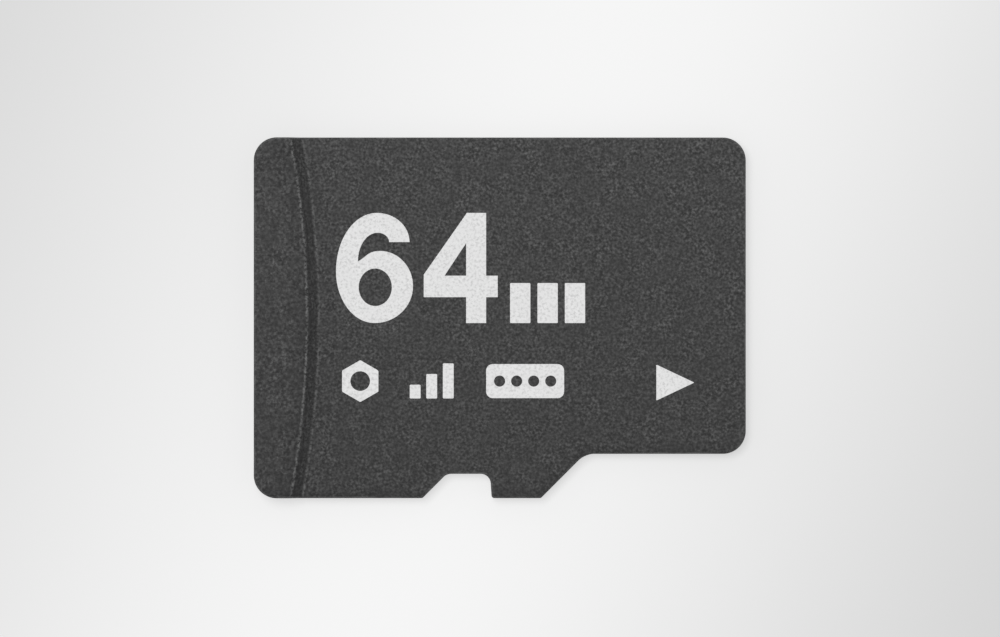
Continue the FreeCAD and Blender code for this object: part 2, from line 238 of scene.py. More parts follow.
def duplicate_of(piece):
    """A copy of a piece with its own mesh, left selected by itself."""
    make_active(piece)
    bpy.ops.object.duplicate()
    return bpy.context.object


def choose(piece, kind, is_wanted):
    """Selects the vertices, edges or faces that the test picks out."""
    bpy.ops.mesh.select_mode(type=kind)
    bpy.ops.mesh.select_all(action="DESELECT")
    mesh = bmesh.from_edit_mesh(piece.data)
    elements = {"VERT": mesh.verts, "EDGE": mesh.edges, "FACE": mesh.faces}[kind]
    for element in elements:
        if is_wanted(element):
            element.select_set(True)
    mesh.select_flush_mode()
    bmesh.update_edit_mesh(piece.data)


def is_upright(edge):
    first, second = (vertex.co for vertex in edge.verts)
    return (first.xy - second.xy).length < SAME_PLACE


def is_wall(face):
    return abs(face.normal.z) < WALL_RISE


def meets_wall(edge, is_other):
    """True between a wall and another face that the test picks out."""
    return any(map(is_wall, edge.link_faces)) and any(map(is_other, edge.link_faces))


def is_rim(edge):
    return meets_wall(edge, lambda face: face.normal.z > FACING_RISE)


def is_lower_edge(edge):
    return meets_wall(edge, lambda face: face.normal.z < -FACING_RISE)


def soften(piece, is_wanted, offset, steps, material=-1):
    """Rounds the edges that the test picks out."""
    choose(piece, "EDGE", is_wanted)
    bpy.ops.mesh.bevel(offset=offset, segments=steps, profile=ROUND_PROFILE, affect="EDGES",
                       clamp_overlap=False, material=material)


def close_up():
    """Joins the mesh where its parts meet, and turns its faces outwards."""
    bpy.ops.mesh.select_all(action="SELECT")
    bpy.ops.mesh.remove_doubles(threshold=MERGE_REACH)
    bpy.ops.mesh.normals_make_consistent(inside=False)


def extrude_up(height):
    """Draws a flat mesh up into a closed slab."""
    bpy.ops.mesh.select_all(action="SELECT")
    bpy.ops.mesh.extrude_region_move(TRANSFORM_OT_translate={"value": (0, 0, height)})
    close_up()


def repeat_along(step, count):
    """Copies the whole mesh in a row, so that there are that many of it."""
    bpy.ops.mesh.select_all(action="SELECT")
    for _ in range(count - 1):
        bpy.ops.mesh.duplicate_move(TRANSFORM_OT_translate={"value": step})


def carve(piece, cutter):
    """Takes the cutter's shape out of the piece, and removes the cutter."""
    make_active(piece)
    cut = piece.modifiers.new("carve", "BOOLEAN")
    cut.operation = "DIFFERENCE"
    cut.solver = "EXACT"
    cut.object = cutter
    bpy.ops.object.modifier_apply(modifier=cut.name)
    bpy.data.objects.remove(cutter, do_unlink=True)
    bpy.ops.object.mode_set(mode="EDIT")


def rounded_block(name, low, high, corner, steps):
    """A block between two corners with its upright edges rounded."""
    piece = begin(bpy.ops.mesh.primitive_cube_add, name, scale=high - low,
                  size=1, location=(low + high) / 2)
    soften(piece, is_upright, corner, steps)
    return piece


def add_materials(piece, *materials):
    """Gives a piece its materials, and returns their numbers."""
    for material in materials:
        piece.data.materials.append(material)
    return range(len(materials))


def paint(piece, number, is_wanted):
    """Gives the faces that the test picks out the piece's material of that number."""
    choose(piece, "FACE", is_wanted)
    piece.active_material_index = number
    bpy.ops.object.material_slot_assign()


def finish_piece(piece, slot, *replaced):
    """Brings a piece to metres, shades it and gives it its place in the frame."""
    make_active(piece)
    piece.scale = (MM, MM, MM)
    settle()
    bpy.ops.object.shade_smooth_by_angle(angle=SMOOTH_ANGLE)
    even_out = piece.modifiers.new("even_out", "WEIGHTED_NORMAL")
    even_out.keep_sharp = True
    bpy.ops.object.modifier_apply(modifier=even_out.name)
    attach(piece, "root")
    if replaced:
        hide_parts(*replaced)


# The moulding and the laminate


def cut_out(piece, lines):
    """Cuts a flat face along the lines and deletes what lies between them."""
    for place, normal in lines:
        bpy.ops.mesh.select_all(action="SELECT")
        bpy.ops.mesh.bisect(plane_co=place, plane_no=normal)

    def is_between(face):
        middle = face.calc_center_median()
        return all((middle - place).dot(normal) > 0 for place, normal in lines)

    choose(piece, "FACE", is_between)
    bpy.ops.mesh.delete(type="FACE")


def round_corners(piece, places, radius, turn, steps):
    """Rounds the corners that a flat face has at the places, where its edge turns by that angle."""
    corners = [Vector(place) for place in places]

    def is_corner(vertex):
        return min((vertex.co.xy - corner).length for corner in corners) < SAME_PLACE

    choose(piece, "VERT", is_corner)
    bpy.ops.mesh.bevel(offset=radius * math.tan(turn / 2), segments=steps, profile=ROUND_PROFILE,
                       affect="VERTICES", clamp_overlap=False)


def card_outline(name, height):
    """A flat face at a height with the card's outline: its step, its notch and its rounded corners."""
    piece = begin(bpy.ops.mesh.primitive_plane_add, name, scale=(CARD_LENGTH, CARD_WIDTH, 1),
                  size=1, location=(CARD_MIDDLE.x, CARD_MIDDLE.y, height))
    cut_out(piece, STEP_LINES)
    cut_out(piece, NOTCH_LINES)
    bpy.ops.mesh.select_all(action="SELECT")
    bpy.ops.mesh.dissolve_limited(angle_limit=FLAT_ANGLE)
    for corners in OUTLINE_ROUNDS:
        round_corners(piece, *corners)
    return piece


def from_lip_axis(vertex):
    return math.hypot(vertex.co.x - LIP_AXIS_X, vertex.co.y)


def lip_front_cutter():
    """A ring of clear space over the face, with the lip's sloping front on its inner side.

    It is twice as high as the lip, so that the slope runs on past the crest."""
    start = LIP_SWEEP / 2
    outwards = Vector((math.cos(start), math.sin(start), 0))
    middle = Vector((LIP_AXIS_X, 0, LIP_TOP)) + outwards * (LIP_FOOT_ARC + CARD_LENGTH / 2)
    cutter = begin(bpy.ops.mesh.primitive_plane_add, "lip_front_cutter",
                   scale=(CARD_LENGTH, 2 * LIP_RISE, 1), size=1, location=middle,
                   rotation=(SQUARE_TURN, 0, start))

    def is_upper_inner(vertex):
        return from_lip_axis(vertex) < LIP_FOOT_ARC + SAME_PLACE and vertex.co.z > LIP_TOP

    choose(cutter, "VERT", is_upper_inner)
    bpy.ops.transform.translate(value=outwards * (-2 * LIP_SLOPE_RUN))
    bpy.ops.mesh.select_all(action="SELECT")
    bpy.ops.mesh.spin(steps=LIP_STEPS, angle=LIP_SWEEP, center=(LIP_AXIS_X, 0, 0), axis=(0, 0, 1))
    close_up()
    return cutter


def soften_arc(piece, arc, height, radius):
    """Rounds the edge that runs along an arc of the lip's front at a height."""

    def is_along_arc(edge):
        return all(abs(from_lip_axis(vertex) - arc) < SAME_LENGTH
                   and abs(vertex.co.z - height) < SAME_PLACE for vertex in edge.verts)

    soften(piece, is_along_arc, radius * math.tan(SLOPE_TURN / 2), EDGE_STEPS)


def embedded_cutter(node):
    """A closed copy of a piece that the moulding holds, in millimetres."""
    cutter = duplicate_of(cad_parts[node])
    cutter.scale = (1 / MM, 1 / MM, 1 / MM)
    settle()
    bpy.ops.object.mode_set(mode="EDIT")
    bpy.ops.mesh.select_all(action="SELECT")
    bpy.ops.mesh.remove_doubles(threshold=MERGE_REACH)
    return cutter


def moulded_card(face_finish, rim_finish, wall_finish):
    """The moulding: its lip is what is left where the clear space over the face ends."""
    piece = card_outline("moulded_card", SEAT)
    _, rim, wall = add_materials(piece, face_finish, rim_finish, wall_finish)
    extrude_up(LIP_TOP - SEAT)
    carve(piece, lip_front_cutter())
    choose(piece, "FACE", lambda face: abs(face.calc_center_median().z - FACE_HEIGHT) < SAME_PLACE)
    bpy.ops.mesh.dissolve_faces(use_verts=True)
    paint(piece, wall, is_wall)
    soften_arc(piece, LIP_FOOT_ARC, FACE_HEIGHT, FOOT_RADIUS)
    soften_arc(piece, LIP_CREST_ARC, LIP_TOP, CREST_RADIUS)
    soften(piece, is_rim, RIM_RADIUS, EDGE_STEPS, material=rim)
    for node in (*FILM_NODES, *CHIP_NODES, *CAPACITOR_NODES, *WIRE_NODES):
        carve(piece, embedded_cutter(node))
    finish_piece(piece, "moulding", "moulded_body")


def window_cutter():
    """A block for each contact's window in the laminate, all in one cutter."""
    blocks = []
    for node in CONTACT_NODES:
        low, high = node_box(node)
        low -= Vector((WINDOW_GAP, WINDOW_GAP, low.z - LAMINATE_LOW.z + WINDOW_GAP))
        high += Vector((WINDOW_GAP, WINDOW_GAP, 0))
        block = rounded_block("window_cutter", low, high, CONTACT_CORNER + WINDOW_GAP, CONTACT_STEPS)
        blocks.append(block)
    leave_edit_mode()
    for block in blocks:
        block.select_set(True)
    bpy.ops.object.join()
    return bpy.context.object


def laminate_card(mask_finish, edge_finish):
    """The laminate: the card's underside, with a window for each contact."""
    piece = card_outline("laminate_card", LAMINATE_LOW.z)
    _, edge = add_materials(piece, mask_finish, edge_finish)
    extrude_up(LAMINATE_HIGH.z - LAMINATE_LOW.z)
    paint(piece, edge, is_wall)
    soften(piece, is_lower_edge, LOWER_EDGE_BREAK, BREAK_STEPS)
    carve(piece, window_cutter())
    finish_piece(piece, "substrate", "substrate")


# The contacts


def contact_plate(name, low, high, gold):
    plate = rounded_block(name, low, high, CONTACT_CORNER, CONTACT_STEPS)
    soften(plate, is_lower_edge, CONTACT_EDGE_BREAK, BREAK_STEPS)
    add_materials(plate, gold)
    return plate


def moved_copy(plate, name, shift):
    copy = duplicate_of(plate)
    copy.name = copy.data.name = name
    copy.location = shift
    settle()
    return copy


def contact_plates(gold):
    """Eight plates: one is modelled for each length, and the others of that length are copies of it."""
    plates = {}
    modelled = {}
    for number, node in enumerate(CONTACT_NODES, start=1):
        name = f"contact_plate_{number}"
        low, high = node_box(node)
        length = round((high.x - low.x) / SAME_LENGTH)
        if length in modelled:
            source, source_low = modelled[length]
            plates[node] = moved_copy(source, name, low - source_low)
        else:
            plates[node] = contact_plate(name, low, high, gold)
            modelled[length] = (plates[node], low)
    for node, plate in plates.items():
        finish_piece(plate, "contact", node)


# The print

# A digit's points, in parts of its width and height. Each has the way that the line runs before it and
# after it: level and upright ends make round stretches, and straight ends make corners.
SIX = (
    (0.955, 0.735, "straight", "upright"),
    (0.53, 1.0, "level", "level"),
    (0.0, 0.47, "upright", "upright"),
    (0.5, 0.0, "level", "level"),
    (1.0, 0.335, "upright", "upright"),
    (0.57, 0.655, "level", "level"),
    (0.285, 0.56, "straight", "upright"),
    (0.54, 0.82, "level", "level"),
    (0.69, 0.735, "upright", "straight"),
)
SIX_HOLE = (
    (0.725, 0.325, "upright", "upright"),
    (0.51, 0.155, "level", "level"),
    (0.295, 0.325, "upright", "upright"),
    (0.51, 0.495, "level", "level"),
)
FOUR = tuple((x, y, "straight", "straight") for x, y in (
    (0.57, 0.0), (0.83, 0.0), (0.83, 0.235), (0.98, 0.235), (0.98, 0.43), (0.83, 0.43),
    (0.83, 1.0), (0.58, 1.0), (0.02, 0.44), (0.02, 0.235), (0.57, 0.235)))
FOUR_HOLE = tuple((x, y, "straight", "straight") for x, y in (
    (0.57, 0.43), (0.29, 0.43), (0.57, 0.725)))

# How far a handle reaches towards the next point, to make a quarter turn round or a line straight
ROUND_REACH = 0.5523
STRAIGHT_REACH = 1 / 3


def handle_place(point, other, way):
    """Where a point's handle lies, on the side of another point."""
    reach = other - point
    if way == "level":
        return point + Vector((reach.x * ROUND_REACH, 0, 0))
    if way == "upright":
        return point + Vector((0, reach.y * ROUND_REACH, 0))
    return point + reach * STRAIGHT_REACH


def add_digit_line(curve, points, corner):
    """One closed line of a digit, from a corner of the digit's box."""
    places = [(corner + Vector((x, y)) * DIGIT_SIZE).to_3d() for x, y, _, _ in points]
    line = curve.splines.new("BEZIER")
    line.bezier_points.add(len(points) - 1)
    line.use_cyclic_u = True
    is_straight = all(before == after == "straight" for _, _, before, after in points)
    line.resolution_u = 1 if is_straight else DIGIT_STEPS
    for number, (_, _, before, after) in enumerate(points):
        knot = line.bezier_points[number]
        knot.handle_left_type = knot.handle_right_type = "FREE"
        knot.co = places[number]
        knot.handle_left = handle_place(places[number], places[number - 1], before)
        knot.handle_right = handle_place(places[number], places[(number + 1) % len(places)], after)


def finish_print(piece, ink):
    add_materials(piece, ink)
    finish_piece(piece, "ink")


def printed_number(ink):
    """A plain two-digit number, drawn as flat lines and made a thin mesh."""
    curve = bpy.data.curves.new("printed_number", "CURVE")
    curve.dimensions = "2D"
    curve.fill_mode = "BOTH"
    curve.extrude = INK_THICKNESS / 2
    for place, lines in enumerate(((SIX, SIX_HOLE), (FOUR, FOUR_HOLE))):
        for points in lines:
            add_digit_line(curve, points, NUMBER_CORNER + Vector((place * DIGIT_PITCH, 0)))
    piece = bpy.data.objects.new("printed_number", curve)
    bpy.context.scene.collection.objects.link(piece)
    make_active(piece)
    bpy.ops.object.convert(target="MESH")
    piece.location.z = INK_MIDDLE
    settle()
    bpy.ops.object.mode_set(mode="EDIT")
    close_up()
    bpy.ops.mesh.dissolve_limited(angle_limit=FLAT_ANGLE)
    finish_print(piece, ink)


def ink_block(name, corner, size, rounding):
    low = Vector((corner.x, corner.y, INK_FOOT))
    high = Vector((corner.x + size.x, corner.y + size.y, INK_TOP))
    return rounded_block(name, low, high, rounding, BLOCK_STEPS)


def ink_disc(name, middle, radius, sides, turn=0.0, thickness=INK_THICKNESS):
    """A flat disc or polygon of ink, or a taller one to punch a hole with."""
    return begin(bpy.ops.mesh.primitive_cylinder_add, name, vertices=sides, radius=radius,
                 depth=thickness, location=(middle.x, middle.y, INK_MIDDLE), rotation=(0, 0, turn))


def hole_punch(middle, radius):
    return ink_disc("hole_punch", middle, radius, HOLE_SIDES, thickness=PUNCH_HEIGHT)


def printed_blocks(ink):
    """Three blocks in a row beside the number."""
    piece = ink_block("printed_blocks", BLOCK_CORNER, BLOCK_SIZE, PRINT_CORNER)
    repeat_along((BLOCK_PITCH, 0, 0), BLOCK_COUNT)
    finish_print(piece, ink)


def printed_nut(ink):
    """A six-sided plate with a round hole."""
    middle = Vector((NUT_MIDDLE_X, SIGN_MIDDLE_Y))
    piece = ink_disc("printed_nut", middle, NUT_RADIUS, NUT_SIDES)
    soften(piece, is_upright, PRINT_CORNER, SIGN_STEPS)
    carve(piece, hole_punch(middle, NUT_HOLE_RADIUS))
    finish_print(piece, ink)


def raise_tops(piece, left):
    """Raises by one stair the tops of the bars from a place onwards."""
    middle = STAIR_CORNER.y + STAIR_SIZE.y / 2

    def is_top(vertex):
        return vertex.co.x > left - SAME_PLACE and vertex.co.y > middle

    choose(piece, "VERT", is_top)
    bpy.ops.transform.translate(value=(0, STAIR_RISE, 0))


def printed_stairs(ink):
    """Bars in a row, each taller than the last."""
    piece = ink_block("printed_stairs", STAIR_CORNER, STAIR_SIZE, PRINT_CORNER)
    repeat_along((STAIR_PITCH, 0, 0), STAIR_COUNT)
    for number in range(1, STAIR_COUNT):
        raise_tops(piece, STAIR_CORNER.x + number * STAIR_PITCH)
    finish_print(piece, ink)


def printed_bar(ink):
    """A rounded bar with a row of round holes."""
    middle = Vector((BAR_MIDDLE_X, SIGN_MIDDLE_Y))
    piece = ink_block("printed_bar", middle - BAR_SIZE / 2, BAR_SIZE, BAR_CORNER)
    first_hole = middle - Vector((BAR_HOLE_PITCH * (BAR_HOLE_COUNT - 1) / 2, 0))
    punch = hole_punch(first_hole, BAR_HOLE_RADIUS)
    repeat_along((BAR_HOLE_PITCH, 0, 0), BAR_HOLE_COUNT)
    carve(piece, punch)
    finish_print(piece, ink)


def printed_arrow(ink):
    """A solid arrowhead that points the way the card goes in.

    A triangle of equal sides in a circle is one and a half radii long and the root of three wide."""
    radius = ARROW_SIZE.x / 1.5
    widening = ARROW_SIZE.y / (radius * math.sqrt(3))
    middle = Vector((ARROW_REAR + radius / 2, ARROW_MIDDLE_Y))
    piece = ink_disc("printed_arrow", middle, radius, ARROW_SIDES, turn=-SQUARE_TURN)
    bpy.ops.mesh.select_all(action="SELECT")
    bpy.ops.transform.resize(value=(1, widening, 1), center_override=middle.to_3d())
    soften(piece, is_upright, PRINT_CORNER, SIGN_STEPS)
    finish_print(piece, ink)


def print_face(ink):
    """Everything that is printed on the card's face."""
    printed_number(ink)
    printed_blocks(ink)
    printed_nut(ink)
    printed_stairs(ink)
    printed_bar(ink)
    printed_arrow(ink)


# Nodes that several materials share


def grey(level):
    return (level, level, level, 1.0)


def rgb(red, green, blue):
    return (red, green, blue, 1.0)


def add_node(tree, kind, inputs=None, **settings):
    """Adds a node with its settings, and its inputs given as values or as other nodes' outputs."""
    node = tree.nodes.new(kind)
    for name, value in settings.items():
        setattr(node, name, value)
    for name, value in (inputs or {}).items():
        if isinstance(value, bpy.types.NodeSocket):
            tree.links.new(value, node.inputs[name])
        else:
            node.inputs[name].default_value = value
    return node


def calculate(tree, operation, first, second=0.0):
    node = add_node(tree, "ShaderNodeMath", {0: first, 1: second}, operation=operation)
    return node.outputs["Value"]


def product(tree, first, second):
    return calculate(tree, "MULTIPLY", first, second)


def faded(tree, mask, share):
    """A mask brought down to a share of itself."""
    return product(tree, mask, share)


def total(tree, first, second):
    return calculate(tree, "ADD", first, second)


def difference(tree, first, second):
    return calculate(tree, "SUBTRACT", first, second)


def apart(tree, first, second):
    """How far one value is from another, either way."""
    return calculate(tree, "ABSOLUTE", difference(tree, first, second))


def graded(tree, value, span, to_span=(0, 1), **settings):
    """A value brought from one span to another, and held within it."""
    ends = {"From Min": span[0], "From Max": span[1], "To Min": to_span[0], "To Max": to_span[1]}
    return add_node(tree, "ShaderNodeMapRange", {"Value": value, **ends}, **settings).outputs["Result"]


def between(tree, mask, start, end):
    """A value that goes from a start to an end as a mask goes from 0 to 1."""
    return graded(tree, mask, (0, 1), (start, end))


def blended(tree, mask, first, second):
    """A colour that goes from one to another as a mask goes from 0 to 1."""
    node = add_node(tree, "ShaderNodeMix", {0: mask, 6: first, 7: second}, data_type="RGBA")
    return node.outputs[2]


def calculate_vector(tree, operation, first, second=(0, 0, 0)):
    """The outputs of a calculation with vectors: some give a Vector and others a Value."""
    return add_node(tree, "ShaderNodeVectorMath", {0: first, 1: second}, operation=operation).outputs


def axes_of(tree, vector):
    return add_node(tree, "ShaderNodeSeparateXYZ", {0: vector}).outputs


def noise(tree, vector, scale, **inputs):
    node = add_node(tree, "ShaderNodeTexNoise", {"Vector": vector, "Scale": scale, **inputs})
    return node.outputs["Fac"]


def new_group(name, inputs, outputs):
    """An empty node group, with what it is given and what it puts out."""
    group = bpy.data.node_groups.new(name, "ShaderNodeTree")
    for label, kind in inputs.items():
        group.interface.new_socket(label, in_out="INPUT", socket_type=kind)
    for label in outputs:
        group.interface.new_socket(label, in_out="OUTPUT", socket_type="NodeSocketFloat")
    return group, group.nodes.new("NodeGroupInput").outputs, group.nodes.new("NodeGroupOutput").inputs


# Fine grain: the scale of its patches, the noise that makes them, and the tones of faint and strong ones
PATCH_SCALE = 0.13
PATCH_SPAN = (0.35, 0.65)
FAINT_SPAN = (0.25, 0.75)
FAINT_TONES = (0.18, 0.82)
STRONG_SPAN = (0.27, 0.71)


def fine_grain_group():
    """Close mottling, stronger in some patches: a tone to colour by and a height for bump."""
    inputs = {"Vector": "NodeSocketVector", "Scale": "NodeSocketFloat"}
    group, given, result = new_group("fine_grain", inputs, ("Tone", "Height"))
    close = noise(group, given["Vector"], given["Scale"], Detail=2.0, Roughness=0.6)
    patches = noise(group, given["Vector"], product(group, given["Scale"], PATCH_SCALE), Detail=1.0)
    strong = graded(group, patches, PATCH_SPAN)
    faint_tone = graded(group, close, FAINT_SPAN, FAINT_TONES)
    strong_tone = graded(group, close, STRONG_SPAN)
    tone = add_node(group, "ShaderNodeMix", {0: strong, 2: faint_tone, 3: strong_tone}).outputs[0]
    group.links.new(tone, result["Tone"])
    group.links.new(close, result["Height"])
    return group


# The noise at which a streak begins, and at which it is full
STREAK_SPAN = (0.3, 0.7)


def streaks_group():
    """Fine lines that run the way the pattern is stretched."""
    inputs = {"Vector": "NodeSocketVector", "Stretch": "NodeSocketVector"}
    group, given, result = new_group("streaks", inputs, ("Streak",))
    place = calculate_vector(group, "MULTIPLY", given["Vector"], given["Stretch"])["Vector"]
    lines = noise(group, place, 1.0, Detail=3.0, Roughness=0.6)
    group.links.new(graded(group, lines, STREAK_SPAN), result["Streak"])
    return group


# The noise at which a patch begins, and at which it is full: of wear on the rim, and of painted
# highlight on the lip's front
WEAR_AND_HIGHLIGHT_SPAN = (0.42, 0.62)


def wear_and_highlight_group():
    """Patches with broken edges: wear from handling on the rim, and where the painted highlight shows on
    the lip's front.
    """
    inputs = {"Vector": "NodeSocketVector", "Scale": "NodeSocketFloat"}
    group, given, result = new_group("wear_and_highlight", inputs, ("Wear_and_highlight",))
    wear_and_highlight_noise = noise(group, given["Vector"], given["Scale"], Detail=4.0, Roughness=0.7)
    group.links.new(graded(group, wear_and_highlight_noise, WEAR_AND_HIGHLIGHT_SPAN), result["Wear_and_highlight"])
    return group


FINE_GRAIN = fine_grain_group()
STREAKS = streaks_group()
WEAR_AND_HIGHLIGHT = wear_and_highlight_group()


def place_group(tree, group, **inputs):
    return add_node(tree, "ShaderNodeGroup", inputs, node_tree=group).outputs


def grain_at(tree, place, count):
    """Fine grain with that many grains to the millimetre."""
    return place_group(tree, FINE_GRAIN, Vector=place, Scale=count / MM)


def streaks_at(tree, place, counts):
    """Streaks with that many to the millimetre along each axis."""
    return place_group(tree, STREAKS, Vector=place, Stretch=[count / MM for count in counts])["Streak"]


def wear_and_highlight_at(tree, place, count):
    """Patches with that many to the millimetre: of wear on the rim, and of painted highlight on the
    lip's front.
    """
    return place_group(tree, WEAR_AND_HIGHLIGHT, Vector=place, Scale=count / MM)["Wear_and_highlight"]


def bump(tree, height, strength, depth):
    """The normal of a surface with bumps of a depth in millimetres."""
    inputs = {"Height": height, "Strength": strength, "Distance": depth * MM}
    return add_node(tree, "ShaderNodeBump", inputs).outputs["Normal"]


def socket_of(shader, name):
    return shader.inputs[name.replace("_", " ")]


def new_finish(name, **values):
    """A material with plain values on its shader, its tree, its shader and the place on the piece."""
    finish = bpy.data.materials.new(name)
    finish.use_nodes = True
    tree = finish.node_tree
    shader = tree.nodes["Principled BSDF"]
    for socket, value in values.items():
        socket_of(shader, socket).default_value = value
    place = add_node(tree, "ShaderNodeTexCoord").outputs["Object"]
    return finish, tree, shader, place


def lead_to(tree, shader, **outputs):
    """Leads nodes' outputs to the shader's sockets."""
    for socket, output in outputs.items():
        tree.links.new(output, socket_of(shader, socket))


# Finishes of the card's own pieces

# Grains, worn patches on the rim and patches of painted highlight on the lip's front to the millimetre,
# and saw lines to the millimetre along each axis
FACE_GRAIN = 12.5
WALL_GRAIN = 18
LIP_HIGHLIGHT_PATCHES = 2.2
RIM_WEAR = 1.3
WALL_SAW_LINES = (22, 22, 1.2)

# The moulding's colours, dark to light, and the near-black that its painted shade darkens towards
FACE_TONES = (grey(0.0236), grey(0.12))
WALL_TONES = (grey(0.012), grey(0.075))
WORN_RIM = grey(0.1)
PAINTED_SHADE = grey(0.008)

# How much painted shade lies at most across the card and along its notch side's edges, and how far in
# from those: the face is darker towards its notch side, and more so close to the edges there
SHADE_ACROSS = 0.22
SHADE_AT_EDGE = 0.33
SHADE_REACH = 0.32

# Lines of painted shade along the lip's front, over its slope, below its crest and in its foot: how far
# past the crest each lies, its half width and how much of it shows
SHADE_LINES = ((-0.1, 0.5, 0.22), (0.12, 0.06, 0.28), (0.3, 0.05, 0.42))

# Lines of painted highlight along the lip's crest and just past its foot, with the grey of each, and how
# much of them shows by patch and by grain
HIGHLIGHT_LINES = ((0.02, 0.055, 1.0, grey(0.2)), (0.38, 0.045, 0.8, grey(0.13)))
HIGHLIGHT_BY_PATCH = (0.3, 1)
HIGHLIGHT_GRAIN_SPAN = (0.3, 0.65)
HIGHLIGHT_BY_GRAIN = (0.1, 1.2)


def inside_line(tree, place, point, normal):
    """How far a place lies on the card's side of a line of its outline."""
    reach = calculate_vector(tree, "DOT_PRODUCT", place, normal)["Value"]
    return difference(tree, point.dot(normal) * MM, reach)


def notch_side_shade(tree, place):
    """A mask of painted shade, which grows towards the card's notch side, and again close to the edges
    there.
    """
    side = inside_line(tree, place, CARD_LOW, SIDE_NORMAL)
    step = calculate(tree, "MAXIMUM", *(inside_line(tree, place, *line) for line in STEP_LINES))
    edge = calculate(tree, "MINIMUM", side, step)
    across = graded(tree, side, (0, CARD_WIDTH * MM), (SHADE_ACROSS, 0))
    at_edge = graded(tree, edge, (0, SHADE_REACH * MM), (SHADE_AT_EDGE, 0))
    return total(tree, across, at_edge)


def moulding_colour(tree, place, grain):
    """Dark grey with lighter specks, and with painted shade towards the notch side."""
    specks = product(tree, grain["Tone"], grain["Tone"])
    colour = blended(tree, specks, *FACE_TONES)
    # Painted shade: darker towards the notch side, and more so along the edges there
    return blended(tree, notch_side_shade(tree, place), colour, PAINTED_SHADE)


def past_lip_crest(tree, place):
    """How far a place lies past the lip's crest."""
    from_axis = calculate_vector(tree, "SUBTRACT", place, (LIP_AXIS_X * MM, 0, 0))["Vector"]
    level = calculate_vector(tree, "MULTIPLY", from_axis, (1, 1, 0))["Vector"]
    return difference(tree, calculate_vector(tree, "LENGTH", level)["Value"], LIP_CREST_ARC * MM)


def lip_line(tree, past_crest, middle, half_width, share):
    """A mask along an arc of the lip's front, which fades out on both sides of it."""
    return graded(tree, apart(tree, past_crest, middle * MM), (0, half_width * MM), (share, 0))


def moulding_face():
    """Grained dark moulding, with painted shade on the lip's front and lines of painted highlight above
    and below it.
    """
    finish, tree, shader, place = new_finish("moulding_face", Specular_IOR_Level=0.2)
    grain = grain_at(tree, place, FACE_GRAIN)
    past_crest = past_lip_crest(tree, place)
    # Where the lip's lines of painted highlight show, broken up by patches and by grain
    patches = between(tree, wear_and_highlight_at(tree, place, LIP_HIGHLIGHT_PATCHES), *HIGHLIGHT_BY_PATCH)
    specks = graded(tree, grain["Tone"], HIGHLIGHT_GRAIN_SPAN, HIGHLIGHT_BY_GRAIN)
    highlight_shows = product(tree, patches, specks)
    colour = moulding_colour(tree, place, grain)
    # Painted shade along the lip's front: over its slope, below its crest and in its foot
    for line in SHADE_LINES:
        colour = blended(tree, lip_line(tree, past_crest, *line), colour, PAINTED_SHADE)
    # Painted highlight along the crest and just past the foot
    for *line, tone in HIGHLIGHT_LINES:
        mask = product(tree, lip_line(tree, past_crest, *line), highlight_shows)
        colour = blended(tree, mask, colour, tone)
    lead_to(tree, shader, Base_Color=colour, Roughness=between(tree, grain["Tone"], 0.8, 0.65),
            Normal=bump(tree, grain["Height"], strength=0.35, depth=0.006))
    return finish


def moulding_rim():
    """The same moulding, with its painted shade, where handling has worn its rounded edge."""
    finish, tree, shader, place = new_finish("moulding_rim", Specular_IOR_Level=0.25)
    grain = grain_at(tree, place, FACE_GRAIN)
    worn = wear_and_highlight_at(tree, place, RIM_WEAR)
    colour = moulding_colour(tree, place, grain)
    colour = blended(tree, faded(tree, worn, share=0.5), colour, WORN_RIM)
    lead_to(tree, shader, Base_Color=colour, Roughness=between(tree, worn, 0.65, 0.45),
            Normal=bump(tree, grain["Height"], strength=0.25, depth=0.004))
    return finish


def moulding_wall():
    """The moulding's sides, which a saw has left with fine upright lines."""
    finish, tree, shader, place = new_finish("moulding_wall", Specular_IOR_Level=0.4)
    grain = grain_at(tree, place, WALL_GRAIN)
    lines = streaks_at(tree, place, WALL_SAW_LINES)
    tone = total(tree, faded(tree, grain["Tone"], share=0.55), faded(tree, lines, share=0.45))
    lead_to(tree, shader, Base_Color=blended(tree, tone, *WALL_TONES),
            Roughness=between(tree, lines, 0.6, 0.42),
            Normal=bump(tree, tone, strength=0.4, depth=0.006))
    return finish


# The ink's colours, dark to light, and that of the specks where its dark grains let the moulding show
INK_TONES = (grey(0.68), grey(0.79))
INK_SPECK = grey(0.42)
INK_SPECK_SPAN = (0.2, 0.5)
INK_SPECK_SHARE = 0.4


def print_ink():
    """Off-white ink, thin enough for the grain under it to show as specks."""
    finish, tree, shader, place = new_finish("print_ink", Specular_IOR_Level=0.3)
    grain = grain_at(tree, place, FACE_GRAIN)
    specks = graded(tree, grain["Tone"], INK_SPECK_SPAN, (INK_SPECK_SHARE, 0))
    colour = blended(tree, specks, blended(tree, grain["Tone"], *INK_TONES), INK_SPECK)
    lead_to(tree, shader, Base_Color=colour, Roughness=between(tree, grain["Tone"], 0.7, 0.55),
            Normal=bump(tree, grain["Height"], strength=0.25, depth=0.004))
    return finish


# Copper under the lacquer: tracks that run back from the contacts to round pads, short and long in turn
TRACK_HALF_WIDTH = 0.07
TRACK_LENGTH = 0.8
TRACK_EXTRA = 0.75
PAD_RADIUS = 0.2
TRACK_FADE = 0.02


def within(tree, distance, edge):
    """A mask of what lies nearer than an edge, which fades out up to it."""
    return graded(tree, distance, ((edge - TRACK_FADE) * MM, edge * MM), (1, 0))


